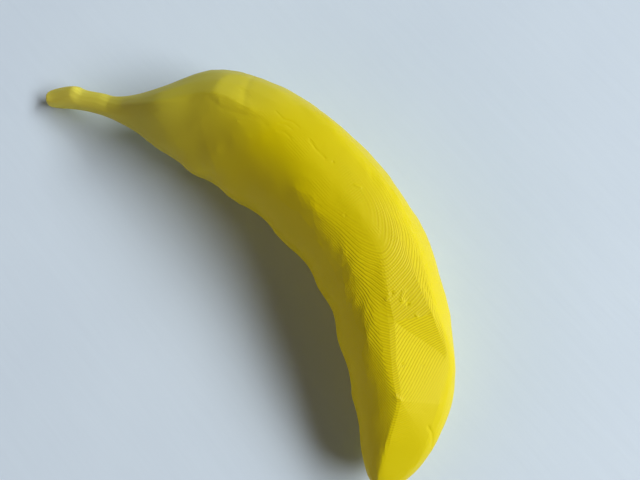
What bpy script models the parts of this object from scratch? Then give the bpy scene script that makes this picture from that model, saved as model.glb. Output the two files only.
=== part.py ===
"""A life-size banana printed in one piece from yellow plastic filament.

It lies on its side, as it came off the print bed: +Z is up, the bow of the fruit bulges towards +Y,
the stem is at -X and the blossom end at +X. The origin is on the bed, below the middle of its box.

The fruit is built like a boat's hull. A table of cross-sections along the bow gives the widths and
heights of its ridges, the sections are joined into a coarse faceted cage, and the cage's edges are
then softened just enough to leave the flats and the ridges between them.
"""

from collections import namedtuple

import bmesh
import bpy
from mathutils import Vector

MM = 0.001

# Softening: each cage facet is split this often along an edge, then the net is relaxed.
SPLITS_PER_EDGE = 3
RELAX_PASSES = 1
RELAX_SHARE = 0.5

# Underside: how far out and how high the two heels stand, as shares of the half width and waist.
HEEL_OUT = 0.74
HEEL_UP = 0.30

# Round sections, on the stem and neck: the shoulders' place, as shares of the half width and height.
ROUND_OUT = 0.70
ROUND_UP = 0.72
ROUND_LIFT = 0.06

# How far the points of the two closing cones stand out from the end sections, in millimetres.
STEM_PUSH = Vector((-0.2, -0.3, 0))
TIP_PUSH = Vector((0.9, -2.4, -0.6))

SKIN_YELLOW = (0.63, 0.53, 0.005, 1.0)
SKIN_ROUGHNESS = 0.42

# One cross-section, square to the bow and upright. x and y place its middle; half is half its width,
# waist the height of its widest points and belly that of its lowest. The five ridges on top are
# (out, up): out is measured from the middle towards the outside of the bow, and up from the bed.
Rib = namedtuple("Rib", "x y half waist belly outer brow crown shoulder inner")


def round_rib(x, y, half, waist, belly, crown):
    """A section with no ridges to speak of: its shoulders lie on a smooth curve from waist to crown."""
    rise = crown[1] - waist
    outer = (ROUND_OUT * half, waist + ROUND_UP * rise)
    between = waist + (1 + ROUND_UP) / 2 * rise + ROUND_LIFT * rise
    brow = ((crown[0] + outer[0]) / 2, between)
    shoulder = ((crown[0] - outer[0]) / 2, between)
    return Rib(x, y, half, waist, belly, outer, brow, crown, shoulder, (-outer[0], outer[1]))


RIBS = [
    # stem, from its cut end over the knob to the neck
    round_rib(0.5, 0.8, 2.2, 3.0, 0.6, (0.0, 5.2)),
    round_rib(2.2, 2.9, 2.8, 3.5, 0.4, (0.2, 6.4)),
    round_rib(6.8, 7.2, 3.6, 5.8, 2.6, (0.8, 9.8)),
    round_rib(9.6, 8.3, 2.9, 6.8, 4.0, (0.2, 9.8)),
    round_rib(15.2, 11.8, 3.1, 8.6, 5.6, (0.4, 11.8)),
    round_rib(18.3, 13.2, 3.1, 9.4, 6.4, (0.2, 12.4)),
    # neck, opening out to the body
    round_rib(22.4, 15.6, 3.9, 10.8, 6.8, (-0.2, 14.8)),
    Rib(26.6, 18.4, 5.8, 12.2, 7.4, (3.6, 16.4), (1.6, 18.2), (-0.4, 18.9), (-2.0, 17.8), (-3.8, 15.4)),
    Rib(33.6, 22.8, 10.1, 14.0, 4.6, (6.2, 21.2), (2.8, 24.2), (-0.6, 25.4), (-3.2, 23.6), (-6.0, 20.4)),
    Rib(41.2, 29.6, 16.4, 15.0, 1.6, (10.6, 23.6), (6.4, 26.8), (1.6, 28.8), (-3.0, 27.6), (-8.0, 24.2)),
    # body
    Rib(46.5, 33.2, 17.6, 15.2, -0.2, (11.4, 26.8), (7.0, 30.2), (2.4, 32.2), (-2.8, 30.0), (-8.4, 26.4)),
    Rib(49.7, 35.1, 18.1, 15.5, -0.8, (11.6, 27.4), (7.0, 30.8), (2.2, 32.9), (-3.0, 31.2), (-8.6, 27.6)),
    Rib(60.0, 38.8, 18.6, 15.8, -1.6, (12.2, 29.8), (7.0, 32.8), (1.6, 34.4), (-4.2, 33.4), (-9.2, 30.2)),
    Rib(72.1, 41.4, 18.4, 16.0, -1.6, (12.0, 32.0), (6.6, 34.2), (0.8, 35.1), (-4.6, 34.4), (-9.2, 31.4)),
    Rib(85.2, 42.2, 18.0, 16.0, -1.6, (11.4, 32.2), (5.6, 34.0), (-0.4, 35.0), (-6.2, 34.2), (-10.4, 32.0)),
    Rib(96.0, 41.6, 17.7, 15.8, -1.6, (11.4, 31.8), (5.8, 33.8), (0.2, 34.6), (-5.2, 33.7), (-9.8, 31.6)),
    Rib(105.0, 39.8, 17.3, 15.5, -1.6, (10.4, 31.4), (5.6, 33.0), (0.4, 33.8), (-4.8, 32.9), (-9.8, 30.9)),
    Rib(113.4, 36.9, 16.7, 15.0, -1.6, (9.4, 29.8), (6.2, 31.0), (-1.8, 32.0), (-5.8, 31.0), (-10.4, 28.9)),
    Rib(122.0, 32.4, 16.0, 14.5, -1.5, (10.0, 27.6), (8.2, 29.0), (-2.2, 30.2), (-6.2, 29.8), (-10.0, 28.0)),
    Rib(130.2, 26.8, 15.6, 13.5, -1.2, (13.6, 20.0), (11.8, 22.8), (-3.0, 28.0), (-6.6, 27.7), (-9.6, 25.4)),
    Rib(137.9, 20.4, 13.8, 13.0, -0.2, (11.6, 17.8), (9.0, 21.0), (-1.8, 25.6), (-3.6, 25.0), (-8.9, 21.8)),
    # blossom end
    Rib(143.4, 13.4, 10.8, 12.0, 1.6, (9.8, 15.0), (8.0, 17.8), (-2.4, 21.5), (-4.0, 21.0), (-7.6, 18.2)),
    Rib(147.0, 7.6, 7.6, 11.0, 3.4, (6.8, 12.4), (5.4, 14.4), (-2.2, 17.9), (-3.6, 17.2), (-5.9, 14.9)),
    Rib(149.2, 2.8, 4.3, 10.0, 5.4, (3.7, 11.2), (2.6, 12.6), (-0.8, 14.0), (-1.8, 13.8), (-2.8, 13.0)),
]


def ring_of(rib):
    """The ten cage points of a section as (out, up), from the outer waist over the crown and round."""
    heel_up = rib.belly + HEEL_UP * (rib.waist - rib.belly)
    return [
        (rib.half, rib.waist),
        rib.outer,
        rib.brow,
        rib.crown,
        rib.shoulder,
        rib.inner,
        (-rib.half, rib.waist),
        (-HEEL_OUT * rib.half, heel_up),
        (0.0, rib.belly),
        (HEEL_OUT * rib.half, heel_up),
    ]


def outward(index):
    """The level direction across the bow at a section, pointing to the outside of the curve."""
    before = RIBS[max(index - 1, 0)]
    after = RIBS[min(index + 1, len(RIBS) - 1)]
    along = Vector((after.x - before.x, after.y - before.y, 0)).normalized()
    return Vector((-along.y, along.x, 0))


def add_rings(bm):
    """A closed ring of cage vertices for each section, in millimetres."""
    rings = []
    for index, rib in enumerate(RIBS):
        across = outward(index)
        middle = Vector((rib.x, rib.y, 0))
        points = [middle + across * out + Vector((0, 0, up)) for out, up in ring_of(rib)]
        rings.append([bm.verts.new(point) for point in points])
    return rings


def join_rings(bm, rings):
    """Two triangles for each gap between neighbours, their shared diagonal alternating along and across."""
    for index, (ring, following) in enumerate(zip(rings, rings[1:])):
        for side in range(len(ring)):
            beside = (side + 1) % len(ring)
            near, near_next = ring[side], ring[beside]
            far, far_next = following[side], following[beside]
            if (index + side) % 2 == 0:
                bm.faces.new((near, far, near_next))
                bm.faces.new((near_next, far, far_next))
            else:
                bm.faces.new((near, far, far_next))
                bm.faces.new((near, far_next, near_next))


def close_end(bm, ring, push):
    """A shallow cone over a ring, its point pushed out along the bow by so many millimetres."""
    middle = sum((v.co for v in ring), Vector()) / len(ring)
    peak = bm.verts.new(middle + push)
    for side, vert in enumerate(ring):
        bm.faces.new((vert, ring[(side + 1) % len(ring)], peak))


def soften(bm):
    """Splits every cage facet evenly and relaxes the net, which rounds the ridges and keeps the flats."""
    bmesh.ops.subdivide_edges(bm, edges=bm.edges[:], cuts=SPLITS_PER_EDGE, use_grid_fill=True)
    for _ in range(RELAX_PASSES):
        bmesh.ops.smooth_vert(
            bm, verts=bm.verts[:], factor=RELAX_SHARE, use_axis_x=True, use_axis_y=True, use_axis_z=True
        )


def press_on_bed(bm):
    """Cuts off what would reach below the bed and closes the cut with one flat face."""
    cut = bmesh.ops.bisect_plane(
        bm,
        geom=bm.verts[:] + bm.edges[:] + bm.faces[:],
        dist=0.01,
        plane_co=(0, 0, 0),
        plane_no=(0, 0, -1),
        clear_outer=True,
    )
    rim = [item for item in cut["geom_cut"] if isinstance(item, bmesh.types.BMEdge)]
    bmesh.ops.contextual_create(bm, geom=rim)


def centre_on_bed(bm):
    """Moves the middle of the box to x = y = 0, with the bed at z = 0."""
    lows = [min(v.co[axis] for v in bm.verts) for axis in range(3)]
    highs = [max(v.co[axis] for v in bm.verts) for axis in range(3)]
    shift = Vector((-(lows[0] + highs[0]) / 2, -(lows[1] + highs[1]) / 2, -lows[2]))
    bmesh.ops.translate(bm, verts=bm.verts[:], vec=shift)


def filament_yellow():
    material = bpy.data.materials.new("filament_yellow")
    material.use_nodes = True
    shader = material.node_tree.nodes["Principled BSDF"]
    shader.inputs["Base Color"].default_value = SKIN_YELLOW
    shader.inputs["Roughness"].default_value = SKIN_ROUGHNESS
    shader.inputs["Metallic"].default_value = 0.0
    return material


def make_banana(collection):
    bm = bmesh.new()
    rings = add_rings(bm)
    join_rings(bm, rings)
    close_end(bm, rings[0][::-1], STEM_PUSH)
    close_end(bm, rings[-1], TIP_PUSH)
    bmesh.ops.recalc_face_normals(bm, faces=bm.faces[:])
    soften(bm)
    press_on_bed(bm)
    bmesh.ops.triangulate(bm, faces=bm.faces[:])
    centre_on_bed(bm)
    bmesh.ops.scale(bm, vec=(MM, MM, MM), verts=bm.verts[:])
    mesh = bpy.data.meshes.new("banana")
    bm.to_mesh(mesh)
    bm.free()
    mesh.shade_smooth()
    mesh.materials.append(filament_yellow())
    banana = bpy.data.objects.new("banana", mesh)
    collection.objects.link(banana)
    return banana


for leftover in list(bpy.data.objects):
    bpy.data.objects.remove(leftover)
printed = bpy.data.collections.new("printed_banana")
bpy.context.scene.collection.children.link(printed)
make_banana(printed)
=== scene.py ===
"""A life-size banana printed from yellow filament, lying on a pale table in soft window light."""

import math

import bmesh
import bpy
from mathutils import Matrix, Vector
from mathutils.bvhtree import BVHTree


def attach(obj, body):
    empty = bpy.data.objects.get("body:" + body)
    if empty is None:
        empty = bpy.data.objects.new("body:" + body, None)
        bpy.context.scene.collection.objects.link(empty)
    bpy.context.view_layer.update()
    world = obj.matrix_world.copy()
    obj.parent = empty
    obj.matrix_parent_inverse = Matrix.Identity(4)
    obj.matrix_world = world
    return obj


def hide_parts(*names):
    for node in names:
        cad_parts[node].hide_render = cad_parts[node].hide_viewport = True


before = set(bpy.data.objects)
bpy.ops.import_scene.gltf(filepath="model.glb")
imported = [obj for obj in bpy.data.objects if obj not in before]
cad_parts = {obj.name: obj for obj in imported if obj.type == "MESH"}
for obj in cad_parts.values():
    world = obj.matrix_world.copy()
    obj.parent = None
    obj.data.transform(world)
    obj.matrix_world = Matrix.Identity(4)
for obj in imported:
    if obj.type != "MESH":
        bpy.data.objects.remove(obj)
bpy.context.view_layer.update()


# The banana: polylactide filament, laid down in level layers by a nozzle 0.6 mm wide. Each layer is a
# bead with a rounded edge, so a steep side comes out fluted and a gentle slope comes out in steps.

LAYER = 0.0003
BEAD = 0.00065
MERGE = 0.000001       # points of the loose triangles this close together become one
BED = 0.0002           # below this height the skin is pressed flat
BOW_CENTRE = Vector((0.005, -0.060, 0))

skin = bmesh.new()
skin.from_mesh(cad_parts["banana"].data)
bmesh.ops.remove_doubles(skin, verts=skin.verts[:], dist=MERGE)
bmesh.ops.subdivide_edges(skin, edges=skin.edges[:], cuts=1, use_grid_fill=True)


def ramp(value, low, high):
    """How far a value has come on its way from low to high, from 0 to 1. Low may be the larger one."""
    return min(max((value - low) / (high - low), 0), 1)


def faces_in(vert):
    """How far a spot looks towards the inside of the bow, from -1 to 1."""
    return (BOW_CENTRE - vert.co).xy.normalized().dot(vert.normal.xy)


def smooth(verts):
    bmesh.ops.smooth_vert(skin, verts=verts, factor=0.5, use_axis_x=True, use_axis_y=True, use_axis_z=True)


# The body's inner wall. Its net is pinched together in places, so it is first spread over its own
# surface: smoothed, and each point put back on the solid.
WALL_FOOT = 0.001
WALL_FROM, WALL_TO = -0.040, 0.050     # along the length
WALL_SPREADS = 260

solid = BVHTree.FromBMesh(skin)
skin.normal_update()
wall = [
    vert
    for vert in skin.verts
    if vert.co.z > WALL_FOOT
    and WALL_FROM < vert.co.x < WALL_TO
    and vert.normal.z < 0.9
    and faces_in(vert) > 0.2
]
for _ in range(WALL_SPREADS):
    smooth(wall)
    for vert in wall:
        vert.co = solid.find_nearest(vert.co)[0]

# Rounding: the steeper a spot, the more passes smooth it, and the bow's inner side gets the most. The
# ridges on top are rounded from the neck as far as CREST_TO, each pass ending a little sooner.
SIDE_ROUNDINGS = [0.86] * 4 + [0.75] * 4 + [0.60] * 6     # a pass takes what is steeper than this
INNER_ROUNDINGS = 20
CREST_ROUNDINGS = 7
CREST_FROM, CREST_TO, CREST_STEP = -0.020, 0.040, 0.002

for steepness in SIDE_ROUNDINGS:
    skin.normal_update()
    smooth([vert for vert in skin.verts if vert.co.z > BED and abs(vert.normal.z) < steepness])
for _ in range(INNER_ROUNDINGS):
    skin.normal_update()
    above_bed = [vert for vert in skin.verts if vert.co.z > BED]
    smooth([vert for vert in above_bed if vert.normal.z < 0.93 and faces_in(vert) > 0.25])
for count in range(CREST_ROUNDINGS):
    crest_end = CREST_TO - CREST_STEP * count
    smooth([vert for vert in skin.verts if vert.normal.z > 0.6 and CREST_FROM < vert.co.x < crest_end])

# Rounding draws the sides in, so they are let out again, and the body's inner side by more.
PLUMP, INNER_PLUMP = 0.0004, 0.0009
WALL_ROUNDINGS = 8

skin.normal_update()
for vert in skin.verts:
    if vert.co.z > BED:
        inner = ramp(faces_in(vert), 0.1, 0.7) * ramp(vert.normal.z, -0.6, -0.1)
        inner *= ramp(vert.co.x, -0.042, -0.020) * ramp(vert.co.x, 0.056, 0.040)
        vert.co += vert.normal * (PLUMP + INNER_PLUMP * inner) * ramp(abs(vert.normal.z), 0.95, 0.5)
for _ in range(WALL_ROUNDINGS):
    smooth([vert for vert in wall if vert.normal.z < 0.6])

# Marks left by the print head: where the path runs, in millimetres, how wide the mark is and how high.
MARKS = [
    ([(-30.5, 17.5), (-26.5, 12.6), (-22.6, 8.9)], 1.5, -0.14),
    ([(-31.4, 3.8), (-26.2, 4.4), (-21.4, 6.8), (-17.3, 9.5), (-14.1, 9.6)], 0.9, -0.06),
    ([(-15.6, 14.2), (-12.6, 14.1), (-10.4, 15.4), (-8.0, 15.6)], 0.35, -0.08),
    ([(-12.2, 12.4), (-10.6, 13.6), (-8.6, 13.9)], 0.35, -0.07),
    ([(-10.9, 10.8), (-9.6, 11.9), (-7.0, 12.0)], 0.35, -0.07),
    ([(-3.5, 15.4), (-0.6, 14.9), (2.7, 15.1)], 0.4, -0.10),
    ([(4.8, 16.0)], 0.4, -0.12),
    ([(13.0, 16.2), (14.4, 16.9)], 0.45, 0.10),
    ([(17.3, 9.0)], 0.4, -0.12),
    ([(42.3, 6.0)], 0.8, 0.24),
    ([(47.6, 6.3)], 0.6, 0.18),
    ([(39.8, 3.1)], 0.7, 0.16),
    ([(39.4, 5.2)], 0.6, -0.16),
    ([(44.0, 6.5)], 0.6, -0.18),
    ([(54.1, -4.3)], 0.6, -0.16),
    ([(57.7, -0.5)], 0.6, -0.14),
    ([(59.0, -10.6), (60.2, -10.2)], 0.8, 0.20),
    ([(70.3, -8.9), (71.9, -9.1), (73.3, -9.9), (74.6, -11.2)], 0.6, -0.18),
]
MM = 0.001
FINE_NET = 0.0016      # the net is split finer this close to a mark
MARK_REACH = 2.5       # how far a mark is felt, in its own widths
UPWARD = 0.3           # the marks are only where the skin looks up by more than this


def nearest(start, end, place):
    """The spot on a straight piece of path that is nearest to a place."""
    along = end - start
    share = ramp((place - start).dot(along), 0, along.length_squared) if along.length else 0
    return start + along * share


def from_mark(path, place):
    """The shortest way, seen from above, from a place to a mark's path."""
    spots = [nearest(start, end, place.xy) for start, end in zip(path, path[1:] or path)]
    return min((spot - place.xy).length for spot in spots)


marks = [
    ([Vector(corner) * MM for corner in path], width * MM, height * MM) for path, width, height in MARKS
]
near_marks = []
for edge in skin.edges:
    if min(vert.normal.z for vert in edge.verts) > UPWARD:
        middle = (edge.verts[0].co + edge.verts[1].co) / 2
        if any(from_mark(path, middle) < FINE_NET for path, width, height in marks):
            near_marks.append(edge)
bmesh.ops.subdivide_edges(skin, edges=near_marks, cuts=3, use_grid_fill=True)
bmesh.ops.triangulate(skin, faces=[face for face in skin.faces if len(face.verts) > 4])
for path, width, height in marks:
    for vert in skin.verts:
        away = from_mark(path, vert.co) / width
        if away < MARK_REACH and vert.normal.z > UPWARD:
            vert.co.z += height * math.exp(-away * away * 2)

# The steps: where the top is gentle, its faces are cut along the foot and the brow of each step, and the
# slope between them becomes a tread and a face. On the steep sides only the material draws the layers.
STEP_FOOT = 0.32       # share of a layer's rise at which the step's face begins
STEP_BROW = 0.68       # and at which it ends
TREAD_FALL = 0.20      # what is left of the slope on a step's tread
FAINT = 0.12           # share of a step that still shows where the top is all but level
GENTLE = 0.62          # faces that look up by more than this are cut
HAIR = 0.00001         # a point this close to a cut is on it
CRISP_FROM, CRISP_TO = 0.004, 0.032      # along the length, where the steps fade in
BLUR_FROM, BLUR_TO = 0.056, 0.070        # and where they fade out again, near the tip
BLURRED = 0.15                           # down to this share


def slice_at(faces, height):
    """Cuts these faces along a level line and returns the ones that reach above it."""
    edges = {edge for face in faces for edge in face.edges}
    verts = {vert for face in faces for vert in face.verts}
    cut = bmesh.ops.bisect_plane(
        skin, geom=[*faces, *edges, *verts], dist=HAIR, plane_co=(0, 0, height), plane_no=(0, 0, 1)
    )
    left = [item for item in cut["geom"] if isinstance(item, bmesh.types.BMFace)]
    return [face for face in left if max(vert.co.z for vert in face.verts) > height + HAIR]


def stepped(share):
    """Where a point that far up its layer ends up, once the slope has become a tread and a face."""
    if share < STEP_FOOT:
        return -TREAD_FALL + 2 * TREAD_FALL * (share + 1 - STEP_BROW) / (STEP_FOOT + 1 - STEP_BROW)
    if share < STEP_BROW:
        return TREAD_FALL + (1 - 2 * TREAD_FALL) * (share - STEP_FOOT) / (STEP_BROW - STEP_FOOT)
    return 1 - TREAD_FALL + 2 * TREAD_FALL * (share - STEP_BROW) / (STEP_FOOT + 1 - STEP_BROW)


skin.normal_update()
for face in skin.faces:
    face.smooth = True
top = max(vert.co.z for vert in skin.verts)
uncut = [
    face
    for face in skin.faces
    if face.normal.z > GENTLE and max(vert.co.x for vert in face.verts) > CRISP_FROM
]
for face in uncut:
    face.smooth = False
for number in range(int(top / LAYER) + 1):
    for share in (STEP_FOOT, STEP_BROW):
        if (number + share) * LAYER < top:
            uncut = slice_at(uncut, (number + share) * LAYER)

# The material reads two numbers off each point: how many layers up it is, and how steep the skin is.
skin.normal_update()
layer_number = skin.verts.layers.float.new("layer")
gradient = skin.verts.layers.float.new("gradient")
for vert in skin.verts:
    vert[layer_number] = vert.co.z / LAYER
    vert[gradient] = min(math.tan(math.acos(min(abs(vert.normal.z), 1))), 5)
    share = vert.co.z / LAYER % 1
    relief = FAINT + (1 - FAINT) * ramp(vert[gradient], 0.10, 0.45)
    relief *= ramp(vert.co.x, CRISP_FROM, CRISP_TO)
    relief *= BLURRED + (1 - BLURRED) * ramp(vert.co.x, BLUR_TO, BLUR_FROM)
    relief *= ramp(vert.normal.z, 0.64, 0.80)
    vert.co += vert.normal * vert.normal.z * relief * (stepped(share) - share) * LAYER

banana_mesh = bpy.data.meshes.new("printed_skin")
skin.to_mesh(banana_mesh)
skin.free()
banana = bpy.data.objects.new("printed_skin", banana_mesh)
bpy.context.scene.collection.objects.link(banana)


def linear(hex_colour):
    """An sRGB hex colour as the linear red, green, blue and alpha that a shader takes."""
    shares = [int(hex_colour[i : i + 2], 16) / 255 for i in (1, 3, 5)]
    return [s / 12.92 if s <= 0.04045 else ((s + 0.055) / 1.055) ** 2.4 for s in shares] + [1.0]


def wire(node, inputs):
    """Gives each named input its value, a link from a socket, or one from a node's first output in use.
    A name has _ for a space, and i and a number stand for the input of that number."""
    for name, value in inputs.items():
        socket = node.inputs[int(name[1:]) if name[1:].isdigit() else name.replace("_", " ")]
        if isinstance(value, bpy.types.Node):
            value = next(output for output in value.outputs if output.enabled)
        if isinstance(value, bpy.types.NodeSocket):
            node.id_data.links.new(value, socket)
        else:
            socket.default_value = value


def add(tree, kind, settings, **inputs):
    """Adds a node with its settings, its values and its links."""
    node = tree.nodes.new(kind)
    for name, value in settings.items():
        setattr(node, name, value)
    wire(node, inputs)
    return node


def new_material(name):
    material = bpy.data.materials.new(name)
    material.use_nodes = True
    return material, material.node_tree, material.node_tree.nodes["Principled BSDF"]


# Polylactide as a nozzle lays it: a strong, slightly milky yellow with a satin surface. The grooves between
# the beads are painted darker as painted shade, the steps on the slopes lighter as a painted highlight, and
# towards the stem the yellow is painted paler and greyer as a painted sheen of cool light.
GROOVE_DEPTH = 0.00004
filament, tree, shader = new_material("extruded yellow polylactide")
layer = add(tree, "ShaderNodeAttribute", {"attribute_name": "layer"}).outputs["Fac"]
slope = add(tree, "ShaderNodeAttribute", {"attribute_name": "gradient"}).outputs["Fac"]
place = add(tree, "ShaderNodeTexCoord", {}).outputs["Object"]
axes = add(tree, "ShaderNodeSeparateXYZ", {}, Vector=place).outputs
lengthwise = axes["X"]

# How much of the grooves shows: all of them in the crisp part, half on the steep sides elsewhere.
crisp = add(tree, "ShaderNodeMapRange", {}, Value=lengthwise, From_Min=CRISP_FROM, From_Max=CRISP_TO)
blurred = add(
    tree, "ShaderNodeMapRange", {}, Value=lengthwise, From_Min=BLUR_TO, From_Max=BLUR_FROM, To_Min=BLURRED
)
steep = add(tree, "ShaderNodeMapRange", {}, Value=slope, From_Min=1.2, From_Max=3.0, To_Max=0.5)
crisp = add(tree, "ShaderNodeMath", {"operation": "MAXIMUM"}, i0=crisp, i1=steep)
crisp = add(tree, "ShaderNodeMath", {"operation": "MULTIPLY"}, i0=crisp, i1=blurred)

# One groove runs along the foot of each step. Where the top is flatter, a tread is wider than a bead, so
# a second groove runs along its middle.
on_slope = add(tree, "ShaderNodeMapRange", {}, Value=slope, From_Min=0.12, From_Max=0.26)
off_bead = add(
    tree, "ShaderNodeMapRange", {}, Value=slope, From_Min=0.30, From_Max=0.37, To_Min=1.0, To_Max=0.0
)
on_bead = add(tree, "ShaderNodeMapRange", {}, Value=slope, From_Min=0.13, From_Max=0.18)
groove_at = add(tree, "ShaderNodeMath", {"operation": "SUBTRACT"}, i0=layer, i1=STEP_FOOT)
from_groove = add(tree, "ShaderNodeMath", {"operation": "PINGPONG"}, i0=groove_at, i1=0.5)
groove = add(
    tree, "ShaderNodeMapRange", {"interpolation_type": "SMOOTHSTEP"},
    Value=from_groove, From_Min=0.0, From_Max=0.3, To_Min=1.0, To_Max=0.0,
)
from_bead = add(tree, "ShaderNodeMath", {"operation": "SUBTRACT"}, i0=0.5, i1=from_groove)
bead_groove = add(
    tree, "ShaderNodeMapRange", {"interpolation_type": "SMOOTHSTEP"},
    Value=from_bead, From_Min=0.0, From_Max=0.25, To_Min=1.0, To_Max=0.0,
)
groove = add(tree, "ShaderNodeMath", {"operation": "MULTIPLY"}, i0=groove, i1=on_slope)
bead_groove = add(tree, "ShaderNodeMath", {"operation": "MULTIPLY"}, i0=bead_groove, i1=on_bead)
bead_groove = add(tree, "ShaderNodeMath", {"operation": "MULTIPLY"}, i0=bead_groove, i1=off_bead)
groove_depth_and_shade = add(tree, "ShaderNodeMath", {"operation": "MAXIMUM"}, i0=groove, i1=bead_groove)
groove_depth_and_shade = add(tree, "ShaderNodeMath", {"operation": "MULTIPLY"}, i0=groove_depth_and_shade, i1=crisp)
groove_depth_and_shade = add(tree, "ShaderNodeMath", {"operation": "MULTIPLY"}, i0=groove_depth_and_shade, i1=0.7)

# The colours: the steps on the slopes painted lighter as a painted highlight, then the neck and the stalk
# painted paler and greyer as a painted sheen, and the grooves painted darker over them as painted shade.
# Painted highlight: the steps on the slopes are painted a lighter yellow, where their faces catch the window
# light.
painted_step_highlight = add(tree, "ShaderNodeMath", {"operation": "MULTIPLY"}, i0=on_slope, i1=crisp)
body = add(tree, "ShaderNodeMix", {"data_type": "RGBA"}, i0=painted_step_highlight, i6=linear("#D0C002"), i7=linear("#DECE03"))
# Painted sheen: towards the neck and the stalk the yellow is painted paler and greyer, in place of the
# reflection of cool light on those faces.
neck = add(tree, "ShaderNodeMapRange", {}, Value=lengthwise, From_Min=-0.012, From_Max=-0.042)
body = add(tree, "ShaderNodeMix", {"data_type": "RGBA"}, i0=neck, i6=body, i7=linear("#C2BA38"))
stalk = add(tree, "ShaderNodeMapRange", {}, Value=lengthwise, From_Min=-0.045, From_Max=-0.070)
body = add(tree, "ShaderNodeMix", {"data_type": "RGBA"}, i0=stalk, i6=body, i7=linear("#DCD250"))
# Painted shade: the grooves are painted a darker yellow, #BEAA00, where less light falls into them.
body = add(tree, "ShaderNodeMix", {"data_type": "RGBA"}, i0=groove_depth_and_shade, i6=body, i7=linear("#BEAA00"))
height = add(tree, "ShaderNodeMath", {"operation": "MULTIPLY"}, i0=groove_depth_and_shade, i1=-GROOVE_DEPTH)

# The level top is filled with straight beads, which show in patches about 10 mm across: some run along
# the bow's chord and some across it. They are drawn as wide as they are, 0.65 mm.
PATCHES_PER_METRE = 95.0
FILL_RELIEF = 0.00006
patches = add(tree, "ShaderNodeTexNoise", {}, Vector=place, Scale=PATCHES_PER_METRE, Detail=1.0)
flat = add(tree, "ShaderNodeMapRange", {}, Value=slope, From_Min=0.35, From_Max=0.2)
for axis, low, high in (("Y", 0.56, 0.64), ("X", 0.46, 0.38)):
    beads = add(tree, "ShaderNodeMath", {"operation": "MULTIPLY"}, i0=axes[axis], i1=1 / BEAD)
    beads = add(tree, "ShaderNodeMath", {"operation": "PINGPONG"}, i0=beads, i1=0.5)
    patch = add(tree, "ShaderNodeMapRange", {}, Value=patches, From_Min=low, From_Max=high)
    patch = add(tree, "ShaderNodeMath", {"operation": "MULTIPLY"}, i0=patch, i1=flat)
    beads = add(tree, "ShaderNodeMath", {"operation": "MULTIPLY"}, i0=beads, i1=patch)
    height = add(
        tree, "ShaderNodeMath", {"operation": "MULTIPLY_ADD"}, i0=beads, i1=FILL_RELIEF, i2=height
    )
relief = add(tree, "ShaderNodeBump", {}, Strength=1.0, Distance=1.0, Height=height)
wire(shader, {
    "Base Color": body, "Normal": relief, "Roughness": 0.48, "IOR": 1.46, "Specular IOR Level": 0.18,
    "Subsurface Weight": 0.1, "Subsurface Radius": (1.0, 0.7, 0.1), "Subsurface Scale": 0.0008,
})
banana_mesh.materials.append(filament)

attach(banana, "root")
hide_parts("banana")


# The table: a plain board with pale wall paint brushed on, that runs out of the picture on every side.
# The brush leaves faint strokes about 3 mm wide and 25 mm long, all one way, in the paint's shade and in
# its surface.

TABLE_SIZE = 3
STROKE_LENGTH, STROKE_WIDTH = 0.025, 0.003125
STROKE_DEPTH = 0.0002

bpy.ops.mesh.primitive_grid_add(x_subdivisions=2, y_subdivisions=2, size=TABLE_SIZE)
table = bpy.context.object
table.name = "table"
paint, tree, shader = new_material("brushed satin wall paint")
place = add(tree, "ShaderNodeTexCoord", {}).outputs["Object"]
across = add(
    tree, "ShaderNodeMapping", {},
    Vector=place, Rotation=(0, 0, 0.6), Scale=(1 / STROKE_LENGTH, 1 / STROKE_WIDTH, 1 / STROKE_LENGTH),
)
strokes = add(tree, "ShaderNodeTexNoise", {}, Vector=across, Scale=1.0, Detail=3.0)
clouds = add(tree, "ShaderNodeTexNoise", {}, Vector=place, Scale=14.0, Detail=2.0)
shade = add(tree, "ShaderNodeMath", {"operation": "MULTIPLY_ADD"}, i0=strokes, i1=0.35, i2=clouds)
shade = add(tree, "ShaderNodeMapRange", {}, Value=shade, From_Min=0.35, From_Max=1.0)
coat = add(tree, "ShaderNodeMix", {"data_type": "RGBA"}, i0=shade, i6=linear("#CBDAE6"), i7=linear("#D1E0EB"))
ripple = add(tree, "ShaderNodeBump", {}, Strength=0.25, Distance=STROKE_DEPTH, Height=strokes)
wire(shader, {"Base Color": coat, "Normal": ripple, "Roughness": 0.5})
table.data.materials.append(paint)


# The light: a broad window to the right of the picture. The room gives back a little of it, low down
# from the left and from the far side of the table, and almost nothing from overhead.


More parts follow.
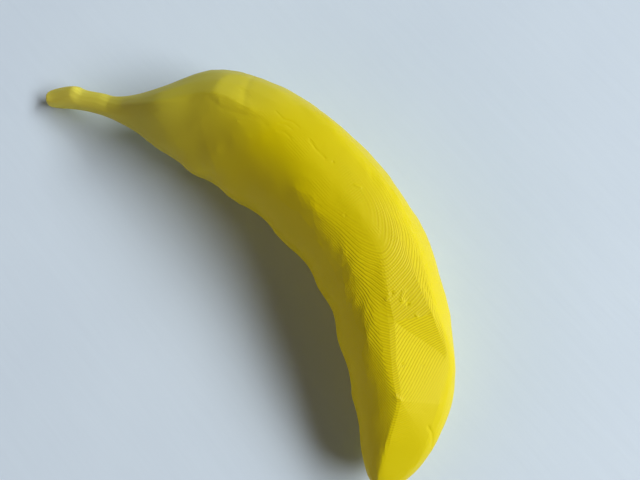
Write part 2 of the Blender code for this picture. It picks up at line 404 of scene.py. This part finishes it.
def soft_light(name, azimuth, rise, away, wide, high, colour, irradiance):
    """A square to the table's middle, turned to face it. Irradiance is in W/m2 at the table."""
    data = bpy.data.lights.new(name, "AREA")
    data.shape = "RECTANGLE"
    data.size = wide
    data.size_y = high
    data.energy = irradiance * math.pi * away**2
    data.color = linear(colour)[:3]
    light = bpy.data.objects.new(name, data)
    azimuth, rise = math.radians(azimuth), math.radians(rise)
    toward = Vector((math.cos(azimuth) * math.cos(rise), math.sin(azimuth) * math.cos(rise), math.sin(rise)))
    light.location = toward * away
    light.rotation_euler = toward.to_track_quat("Z", "Y").to_euler()
    bpy.context.scene.collection.objects.link(light)


WALL_AWAY, WALL_WIDE, WALL_HIGH, WALL_RISE = 5.0, 5.0, 2.4, 20
soft_light("window", 48, 39, 5.0, 5.4, 1.6, "#FCFCFF", 4.8)
for name, azimuth, colour, irradiance in (
    ("far_wall", 139, "#E6F0FF", 0.45),
    ("left_wall", 229, "#FFE2BC", 0.42),
    ("near_wall", 275, "#FFE2BC", 0.36),
):
    soft_light(name, azimuth, WALL_RISE, WALL_AWAY, WALL_WIDE, WALL_HIGH, colour, irradiance)

room = bpy.data.worlds.new("room")
room.use_nodes = True
wire(room.node_tree.nodes["Background"], {"Color": linear("#C9D6EA"), "Strength": 0.03})
bpy.context.scene.world = room
bpy.context.scene.view_settings.view_transform = "Standard"


# The camera: held about 190 mm from the banana, leaning 13 degrees back from straight down, so that
# the stem is at the upper left and the tip runs out of the picture at the bottom.

AIM = Vector((0.0148, 0.0029, 0.016))
CAMERA_AWAY = 0.1925
CAMERA_AZIMUTH = math.radians(48.95)
CAMERA_ELEVATION = math.radians(77)

camera_data = bpy.data.cameras.new("camera")
camera_data.sensor_width = 36
camera_data.lens = 39.4
camera_data.clip_start = 0.01
camera = bpy.data.objects.new("camera", camera_data)
camera.rotation_euler = (math.pi / 2 - CAMERA_ELEVATION, 0, CAMERA_AZIMUTH)
back = Vector((0, 0, 1))
back.rotate(camera.rotation_euler)
camera.location = AIM + back * CAMERA_AWAY
bpy.context.scene.collection.objects.link(camera)
bpy.context.scene.camera = camera
